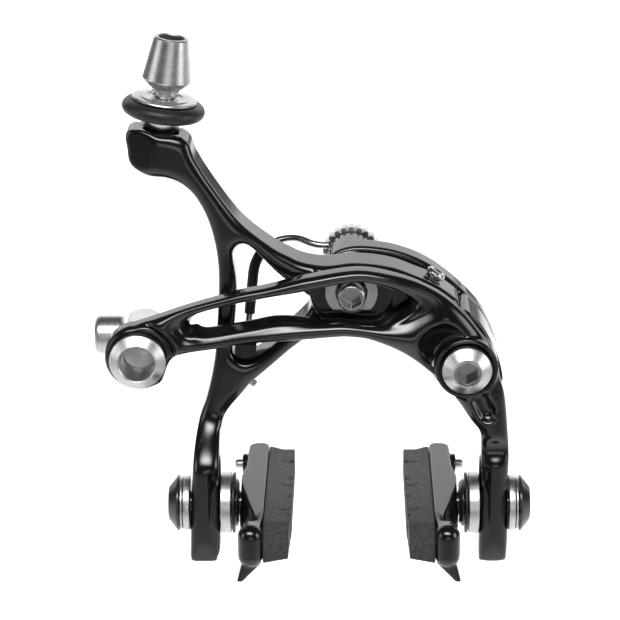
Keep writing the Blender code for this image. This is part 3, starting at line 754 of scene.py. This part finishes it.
ADJUSTER_OUTLINE = [
    (-44.7, 33.5), (-45.3, 29.2), (-44.6, 26.4), (-41.3, 24.2), (-37.9, 23.8), (-35.1, 22.8), (-32.9, 21.1),
    (-31.3, 19.0), (-29.6, 15.6), (-28.3, 11.2), (-27.5, 6.0), (-27.4, 0.0), (-27.9, -7.8), (-28.4, -14.0),
    (-29.3, -19.5), (-30.6, -24.8), (-32.0, -28.8), (-32.9, -33.5), (-33.4, -40.0), (-33.8, -47.0),
    (-34.05, -55.0), (-34.1, -57.8), (-33.4, -58.8), (-29.1, -58.8), (-28.4, -57.8), (-27.75, -54.0),
    (-27.75, -33.0), (-27.4, -30.6),
    (-26.9, -28.6), (-25.4, -26.2), (-22.8, -23.1), (-21.0, -20.9), (-17.2, -17.5), (-10.7, -11.8),
    (-5.0, -8.6), (0.0, -7.6), (6.0, -7.4), (12.0, -7.6), (18.0, -6.6), (21.6, -4.4), (22.2, -3.0),
    (20.8, -1.6),
    (17.4, 0.8), (12.7, 2.9), (9.0, 4.3), (5.0, 5.1), (0.0, 5.4), (-5.3, 4.8), (-9.9, 5.5), (-12.8, 6.8),
    (-16.2, 8.7), (-21.5, 12.9), (-24.8, 16.7), (-29.4, 23.5), (-31.9, 27.9), (-34.3, 32.1),
]
ADJUSTER_WINDOW = [
    (-22.3, 9.7), (-24.0, 8.6), (-24.4, 6.6), (-23.7, 0.5), (-24.2, -7.0), (-24.9, -13.0), (-24.2, -15.2),
    (-22.0, -16.2), (-19.2, -15.0), (-15.7, -12.0), (-11.0, -7.4), (-8.8, -4.9), (-8.3, -2.7),
    (-9.4, -1.2), (-14.9, 3.0), (-20.0, 8.4),
]
BRACKET_OUTLINE = (
    arc((0, 0), 5.8, 250, 150, 7)
    + [(-3.4, 4.7), (0, 5.8), (4.5, 5.75), (9.8, 4.8), (15.8, 2.3), (21.6, -2.0), (26.4, -7.0)]
    + [(29.4, -12.0), (31.2, -17.5), (31.4, -21.0)]
    + arc((SIDE_PIVOT.x, SIDE_PIVOT.z), 9.0, -50, -115, 5)
    + [(16.0, -17.0), (11.0, -11.5), (6.0, -7.8), (2.0, -6.4)]
)
BOSS_OUTLINE = [
    (23.1, -4.2), (25.8, -6.2), (27.8, -8.8), (29.4, -12.0), (31.0, -16.0), (31.5, -20.5),
    (28.5, -22.6), (24.0, -23.4), (19.0, -21.0), (16.4, -17.0), (16.8, -12.0), (19.2, -7.4),
]


def blade_features(clay, solid, side, bevel_start):
    """Pad bolt slot, bevel on the wheel's side of the front, and the sloped toe at the end."""
    slot = arc((PAD_Y, SLOT_TOP), SLOT_HALF, 0, 180, 24)
    slot += arc((PAD_Y, SLOT_BOTTOM), SLOT_HALF, 180, 360, 24)
    solid = cut(solid, clay.profile(slot), 0.3)
    out = clay.x * side
    tilt = math.radians(36)
    bevel = -(clay.y - BLADE_FRONT) * math.cos(tilt) - (out - bevel_start) * math.sin(tilt)
    bevel = bevel - np.maximum(clay.z + 39.0, 0) ** 2 * 0.12
    solid = both(solid, bevel, 0.4)
    tilt = math.radians(13)
    toe = -(clay.y - BLADE_FRONT) * math.cos(tilt) - (clay.z + 54.6) * math.sin(tilt)
    return both(solid, toe, 0.2)


def crown(clay, outline, reach, depth):
    """How far the front face falls back towards the outline's edges."""
    eased = blurred(outline[:, 0, :], 0.7 / clay.pitch)[:, None, :]
    return depth * (1 - np.clip(-eased / reach, 0, 1)) ** 2


def anchor_arm():
    clay = Clay("anchor_arm", ARM_PITCH)
    eye = (ANCHOR_EYE.x, ANCHOR_EYE.z)
    outer = clay.side(spline(arc(eye, 7.0, 92, 312, 16) + ANCHOR_OUTLINE))
    mouth = clay.side(spline(ANCHOR_WINDOW))
    middle = -9.6
    tail = []
    for k, (x, z) in enumerate(ANCHOR_WINDOW):
        narrow = 0.87 if x < middle else 0.80
        lift = 0.2 + 2.1 * float(smoothstep((-7.0 - x) / 7.0))
        tail.append((middle + (x - middle) * narrow, z + (lift if k > 12 else -0.1)))
    throat = clay.side(spline(tail))
    front = between(clay.z, -22.0, -30.0, ANCHOR_FRONT, BLADE_FRONT)
    rear = between(clay.z, -22.0, -30.0, ANCHOR_REAR, BLADE_REAR)
    depth = np.clip((clay.y - ANCHOR_FRONT) / (ANCHOR_REAR - ANCHOR_FRONT), 0, 1)
    window = mouth * (1 - depth) + throat * depth
    wide = smoothstep((clay.x - 5.0) / 9.0) * smoothstep((clay.z + 17.0) / 6.0)
    face = front + crown(clay, np.maximum(outer, -mouth), 2.9 + 2.6 * wide, 1.5 + 0.9 * wide)
    solid = both(both(np.maximum(outer, -window), face - clay.y, 0.7), clay.y - rear, 0.6)

    # step round the cable anchor's eye
    around = np.sqrt((clay.x - eye[0]) ** 2 + (clay.z - eye[1]) ** 2)
    solid = cut(solid, np.maximum(around - 8.0, clay.y - (ANCHOR_FRONT + 0.85)), 0.3)
    solid = cut(solid, np.maximum(np.abs(around - 7.5) - 0.35, clay.y - (ANCHOR_FRONT + 2.0)), 0.3)
    # scooped hollow above the side pivot and a small one below it
    solid = cut(solid, clay.ball((18.9, ANCHOR_FRONT - 4.6, -10.2), 7.6), 0.45)
    hollow = clay.bar((26.2, ANCHOR_FRONT - 0.7, -20.6), (28.1, ANCHOR_FRONT - 0.4, -24.6), 2.0)
    solid = cut(solid, hollow, 0.6)
    # valley across the neck of the blade
    solid = cut(solid, clay.rod((30, BLADE_FRONT - 1.5, -33.0), (1, 0, 0), 3.0), 0.9)
    # pivot boss and bores
    boss = clay.rod(SIDE_AXIS, ALONG_Y, 6.5, ANCHOR_FRONT - 0.1, ANCHOR_REAR, 0.5)
    solid = either(solid, boss, 0.5)
    solid = cut(solid, clay.rod(SIDE_AXIS, ALONG_Y, 5.7, -60, -32.9), 0.25)
    solid = cut(solid, clay.rod(SIDE_AXIS, ALONG_Y, BUSH_HOLE, -60, 0), 0.15)
    solid = cut(solid, clay.rod((eye[0], 0, eye[1]), ALONG_Y, 5.3, -60, 0), 0.3)
    solid = blade_features(clay, solid, 1, 28.5)
    clay.make(solid, BLACK)


def adjuster_arm():
    clay = Clay("adjuster_arm", ARM_PITCH)
    outer = clay.side(spline(ADJUSTER_OUTLINE))
    mouth = clay.side(spline(ADJUSTER_WINDOW))
    front = between(clay.z, -27.0, -38.5, ADJUSTER_FRONT, BLADE_FRONT)
    rear = between(clay.z, -24.0, -37.0, ADJUSTER_REAR, BLADE_REAR)
    face = front + crown(clay, np.maximum(outer, -mouth), 2.4, 1.0)
    solid = both(both(np.maximum(outer, -mouth), face - clay.y, 0.6), clay.y - rear, 0.7)
    # facet on the outer half of the housing block, turned to the side
    beyond = clay.x + 39.3 + (32.7 - clay.z) * 0.234
    facet = -beyond * 0.37 - (clay.y - ADJUSTER_FRONT) * 0.93
    solid = both(solid, facet - 12.0 * smoothstep((20.0 - clay.z) / 4.0), 0.12)
    # pocket in the block's top for the adjuster's foot
    solid = cut(solid, clay.rod(FOOT, LEAN, 3.7, -1.2, 9.0), 0.2)
    # ring step round the hub
    hub = clay.rod(CENTRE, ALONG_Y, 8.6, ADJUSTER_FRONT - 0.3, ADJUSTER_REAR, 0.3)
    solid = either(solid, np.maximum(hub, outer + 0.3), 0.1)
    # bores
    solid = cut(solid, clay.rod(CENTRE, ALONG_Y, BUSH_HOLE, -60, 0), 0.2)
    solid = cut(solid, clay.rod(FOOT, LEAN, 3.1, -7.0, 6.0), 0.1)
    solid = cut(solid, clay.rod(SCREW, SCREW_AXIS, 1.5, -9.0, 4.0), 0.1)
    solid = cut(solid, clay.rod(SCREW + SCREW_AXIS * 0.2, SCREW_AXIS, 2.6, -0.2, 4.0), 0.2)
    solid = cut(solid, clay.rod(TENSION, TENSION_AXIS, 1.05, -6.0, 3.0), 0.1)
    solid = blade_features(clay, solid, -1, 29.8)
    clay.make(solid, BLACK)


def pivot_bracket():
    clay = Clay("pivot_bracket", ARM_PITCH)
    solid = clay.slab(clay.side(spline(BRACKET_OUTLINE)), BRACKET_FRONT, BRACKET_REAR, 0.7, 0.9)
    low = box_mm("pivot_bracket")[0]
    boss = clay.slab(clay.side(spline(BOSS_OUTLINE)), low.y, BRACKET_REAR - 1.0, 0.5, 0.5)
    solid = either(solid, boss, 0.6)
    solid = either(solid, clay.rod(CENTRE, ALONG_Y, 5.3, BRACKET_REAR - 0.8, -3.3, 0.4), 0.8)
    solid = cut(solid, clay.rod(CENTRE, ALONG_Y, PIN_HOLE), 0.2)
    solid = cut(solid, clay.rod(SIDE_AXIS, ALONG_Y, PIN_HOLE), 0.2)
    clay.make(solid, BLACK)


# ---------------------------------------------------------------- pads


class Pad:
    """One side's pad: distances outwards from the wheel, read from its CAD pieces."""

    def __init__(self, side, sign):
        self.side = side
        self.sign = sign
        self.face, self.rubber_back = self.span("pad_rubber")
        self.holder_front, self.tip = self.span("pad_holder")
        self.holder_back = self.holder_front + 4.4
        self.place = (0, PAD_Y, PAD_Z)
        self.outward = (sign, 0, 0)

    def span(self, label):
        low, high = box_mm(f"{self.side}_{label}")
        return sorted((low.x * self.sign, high.x * self.sign))

    def node(self, label):
        return f"{self.side}_{label}"


def pad_hardware(pad):
    def washer(label, outer, material, inset=0.0):
        low, high = pad.span(label)
        low -= inset
        ring(pad.node(label), BOLT_HOLE, outer, low, high, pad.place, pad.outward, material)

    end, head = pad.span("pad_bolt")
    rim = head - 2.35
    bolt = [
        (0, end), (2.2, end), (2.4, end + 0.3), (2.4, rim), (5.75, rim), (5.9, rim + 0.12), (5.9, rim + 0.4),
        (5.75, rim + 0.6), (3.7, head - 0.15), (3.4, head), (0, head),
    ]
    socket = [(4.0, head - 2.2, head + 2)]
    turned(pad.node("pad_bolt"), bolt, pad.place, pad.outward, DARK_GLOSS, 0.06, socket)
    washer("outer_washer", 5.8, SILVER, 0.2)
    washer("bolt_collar", 5.6, SILVER)
    washer("spacer_washer", 6.45, SILVER)
    washer("dished_washer", 6.4, PLASTIC)
    low, high = pad.span("domed_washer")
    dome = [(BOLT_HOLE, low), (4.2, low), (5.0, high - 0.25), (5.0, high), (BOLT_HOLE, high)]
    turned(pad.node("domed_washer"), dome, pad.place, pad.outward, DARK_GLOSS)


def pad_holder(pad):
    """Bullet-nosed shoe with a pointed boss for the bolt and a tyre guide fin."""
    clay = Clay(pad.node("pad_holder"), PAD_PITCH)
    low, high = box_mm(pad.node("pad_holder"))
    half = 4.0
    front, rear = low.y, high.y
    inner, outer, tip = pad.holder_front, pad.holder_back, pad.tip - 0.02
    top, bottom = PAD_Z + half, PAD_Z - half
    side = arc((front + half, PAD_Z), half, 90, 270, 24)
    side += [(rear - 1.0, bottom), (rear, bottom + 1.0), (rear, top)]
    plan = arc((inner + 1.6, rear - 1.6), 1.6, 180, 90, 6) + arc((outer - 2.0, rear - 2.0), 2.0, 90, 0, 6)
    plan += [
        (outer + 0.1, PAD_Y + 11.0), (tip, PAD_Y + 5.4), (tip, PAD_Y - 4.4), (outer + 0.2, PAD_Y - 7.5),
        (outer + 0.2, front + 8.5), (outer, front + 4.5), (outer - 0.6, front + 2.0),
        (outer - 1.4, front + 0.6), (outer - 2.4, front), (inner + 1.4, front + 0.2),
        (inner + 0.5, front + 1.3), (inner, front + 4.0),
    ]
    edge = 0.4 + 1.5 * smoothstep((front + 11.5 - clay.y) / 6.0)
    solid = both(clay.profile(side), clay.plan([(u * pad.sign, v) for u, v in plan]), edge)
    # slanted hollow between the boss and the nose
    slant = ((clay.x * pad.sign - tip) * 17.0 - (clay.y - PAD_Y - 1.5) * 3.4) / 17.4
    hollow = np.maximum((top - clay.z) * 0.35 - slant, np.maximum(PAD_Z + 0.8 - clay.z, front + 6.0 - clay.y))
    solid = cut(solid, hollow, 0.9)
    middle = pad.sign * (inner + 2.45)
    nose = clay.bar((middle, front + 2.7, PAD_Z + 1.8), (middle, front + 2.6, PAD_Z - 2.3), 2.55)
    solid = either(solid, nose, 0.5)
    # fin that keeps the tyre off while a wheel goes in
    fin = [
        (inner + 0.3, bottom + 1.0), (outer - 0.4, bottom + 1.0), (outer + 1.0, bottom - 4.6),
        (outer + 0.5, bottom - 5.0), (inner + 0.3, bottom - 0.1),
    ]
    fin = clay.side([(u * pad.sign, v) for u, v in fin])
    fin = both(fin, np.maximum(front + 2.2 - clay.y, clay.y - front - 9.0), 0.2)
    solid = either(solid, fin, 0.2)
    screw = middle_mm(pad.node("pad_screw"))
    across = (pad.sign, 0, 0)
    lug = clay.rod((0, screw.y, screw.z), across, 2.2, outer - 1.0, outer + 1.3, 0.3)
    solid = either(solid, lug, 0.2)
    solid = cut(solid, clay.rod((0, screw.y, screw.z), across, 1.3, outer - 2.4, 90), 0.1)
    solid = cut(solid, clay.rod((0, PAD_Y, PAD_Z), across, 2.7, pad.tip - 3.4, 90), 0.15)
    clay.make(solid, BLACK)


def pad_rubber(pad):
    """Brake block: grooved face, curved rear end, sloped leading end and moulded ticks."""
    clay = Clay(pad.node("pad_rubber"), PAD_PITCH, 0.3)
    low, high = box_mm(pad.node("pad_rubber"))
    front, rear, bottom, top = low.y, high.y, low.z, high.z
    out = clay.x * pad.sign
    across = np.clip((pad.rubber_back - out) / (pad.rubber_back - pad.face), 0, 1)
    side = [(front + 4.6, top), (front + 0.7, top - 2.5), (front, bottom), (rear, bottom), (rear, top)]
    solid = clay.profile(side)
    solid = both(solid, clay.y - rear + 1.5 * smoothstep(across * 1.7), 0.15)
    solid = both(solid, bottom + 1.0 * across - clay.z, 0.25)
    face = pad.face + 0.45 * smoothstep((PAD_Y - 8 - clay.y) / 14)
    solid = both(solid, np.maximum(face - out, out - pad.rubber_back - 0.26), 0.2)
    for k in range(4):
        middle = PAD_Y - 13.6 + 9.1 * k
        groove = both(np.abs(clay.y - middle) - 0.45, out - (pad.face + 0.9), 0.1)
        solid = cut(solid, groove, 0.1)
    for k in range(3):
        y = PAD_Y + 13.0 - 12.0 * k
        corners = ((0.5, 0), (2.4, 0), (2.5, 1.1))
        ends = [(pad.sign * (pad.face + d), y + shift, top + 0.05) for d, shift in corners]
        tick = np.minimum(clay.bar(ends[0], ends[1], 0.34), clay.bar(ends[1], ends[2], 0.3))
        solid = cut(solid, tick, 0.05)
    clay.make(solid, BRAKE_RUBBER)


def pad_screw(pad):
    low, high = pad.span("pad_screw")
    place = middle_mm(pad.node("pad_screw"))
    high += 1.2
    profile = [
        (0, low), (0.85, low), (1.0, low + 0.2), (1.0, high - 0.5), (0.85, high - 0.2), (0.5, high),
        (0, high),
    ]
    turned(pad.node("pad_screw"), profile, (0, place.y, place.z), pad.outward, SILVER, 0.04)


def spring_seat():
    low, high = box_mm("spring_seat")
    radius = (high.x - low.x) / 2
    x = (low.x + high.x) / 2
    outline = arc((x, low.z + radius), radius, 180, 360, 24) + [(high.x, high.z), (low.x, high.z)]
    clay = Clay("spring_seat", 0.15)
    clay.make(clay.slab(clay.side(outline), low.y, high.y, 0.4, 0.4), PLASTIC)


# ---------------------------------------------------------------- stage

FLOOR, WALL = -0.6, 1.3


def fades(tree, source, ramps):
    """Smooth ramps along a vector's axes: axis, start, end and the values at both."""
    parts = tree.nodes.new("ShaderNodeSeparateXYZ")
    tree.links.new(source, parts.inputs["Vector"])
    outputs = []
    for axis, *values in ramps:
        fade = tree.nodes.new("ShaderNodeMapRange")
        fade.interpolation_type = "SMOOTHSTEP"
        for name, value in zip(("From Min", "From Max", "To Min", "To Max"), values):
            fade.inputs[name].default_value = value
        tree.links.new(parts.outputs[axis], fade.inputs["Value"])
        outputs.append(fade.outputs["Result"])
    return outputs


def multiplied(tree, factors, extra=0.0):
    """Product of the factors, with a constant added after each step."""
    product = factors[0]
    for factor in factors[1:]:
        times = tree.nodes.new("ShaderNodeMath")
        times.operation = "MULTIPLY_ADD"
        times.inputs[2].default_value = extra
        tree.links.new(product, times.inputs[0])
        tree.links.new(factor, times.inputs[1])
        product = times.outputs["Value"]
    return product


def area_light(name, place, target, size, power, soft=0.0):
    """Rectangular light. A soft one fades out towards its edges."""
    data = bpy.data.lights.new(name, "AREA")
    data.shape = "RECTANGLE"
    data.size, data.size_y = size
    data.energy = power
    if soft:
        data.use_nodes = True
        tree = data.node_tree
        place_node = tree.nodes.new("ShaderNodeNewGeometry")
        ends = ((0.0, soft), (1.0, 1.0 - soft))
        ramps = [(axis, low, high, 0.0, 1.0) for axis in ("X", "Y") for low, high in ends]
        product = multiplied(tree, fades(tree, place_node.outputs["Parametric"], ramps))
        tree.links.new(product, tree.nodes["Emission"].inputs["Strength"])
    item = bpy.data.objects.new(name, data)
    bpy.context.scene.collection.objects.link(item)
    item.location = place
    item.rotation_euler = (Vector(target) - Vector(place)).to_track_quat("-Z", "Y").to_euler()
    return item


def studio():
    """Dark room with a bright low wall behind, soft boxes in front and a lit floor behind."""
    scene = bpy.context.scene
    scene.view_settings.view_transform = "Standard"
    world = bpy.data.worlds.new("studio")
    scene.world = world
    world.use_nodes = True
    tree = world.node_tree
    place = tree.nodes.new("ShaderNodeTexCoord")
    ramps = (("Y", 0.5, 0.86, 0.0, WALL), ("Z", 0.46, 0.62, 1.0, 0.0))
    strength = multiplied(tree, fades(tree, place.outputs["Generated"], ramps), 0.05)
    tree.links.new(strength, tree.nodes["Background"].inputs["Strength"])
    tree.nodes["Background"].inputs["Color"].default_value = (1, 1, 1, 1)

    bpy.ops.mesh.primitive_plane_add(size=60.0, location=(0, 0, FLOOR))
    floor = bpy.context.object
    floor.name = "floor"
    material, shader = new_material("floor", Roughness=0.95)
    tint(material, object_noise(material, 0.4), (0.88,) * 3, (0.90,) * 3, shader.inputs["Base Color"])
    floor.data.materials.append(material)

    target = (0, -0.02, -0.01)
    area_light("front_box", (-0.06, -0.50, 0.55), target, (1.1, 0.42), 19.0, 0.5)
    area_light("left_box", (-0.70, -0.22, 0.12), target, (0.50, 0.6), 1.4, 0.3)
    area_light("right_box", (0.75, -0.25, 0.16), target, (0.50, 0.6), 3.2, 0.3)
    area_light("front_fill", (0.10, -1.10, 0.06), target, (0.9, 0.5), 1.6, 0.3)
    backdrop = area_light("backdrop", (0, 2.2, FLOOR + 2.1), (0, 2.2, FLOOR), (4.6, 2.8), 170.0)
    backdrop.visible_glossy = False


def camera():
    """Level with no roll, looking down 20 degrees, with the object a little left of centre."""
    data = bpy.data.cameras.new("camera")
    data.sensor_width = 36.0
    data.lens = 126.0
    data.shift_x = -0.0645
    item = bpy.data.objects.new("camera", data)
    bpy.context.scene.collection.objects.link(item)
    distance, down = 443.0 * MM, math.radians(20.0)
    aim = Vector((-0.0003, -0.0313, -0.00243))
    item.location = aim + Vector((0, -math.cos(down), math.sin(down))) * distance
    item.rotation_euler = (math.pi / 2 - down, 0, 0)
    bpy.context.scene.camera = item


def main():
    camera()
    studio()
    anchor_arm()
    adjuster_arm()
    pivot_bracket()
    centre_hardware()
    barrel_adjuster()
    small_screws()
    cable_clamp()
    return_spring()
    spring_seat()
    for pad in (Pad("left", -1), Pad("right", 1)):
        pad_hardware(pad)
        pad_holder(pad)
        pad_rubber(pad)
        pad_screw(pad)


main()
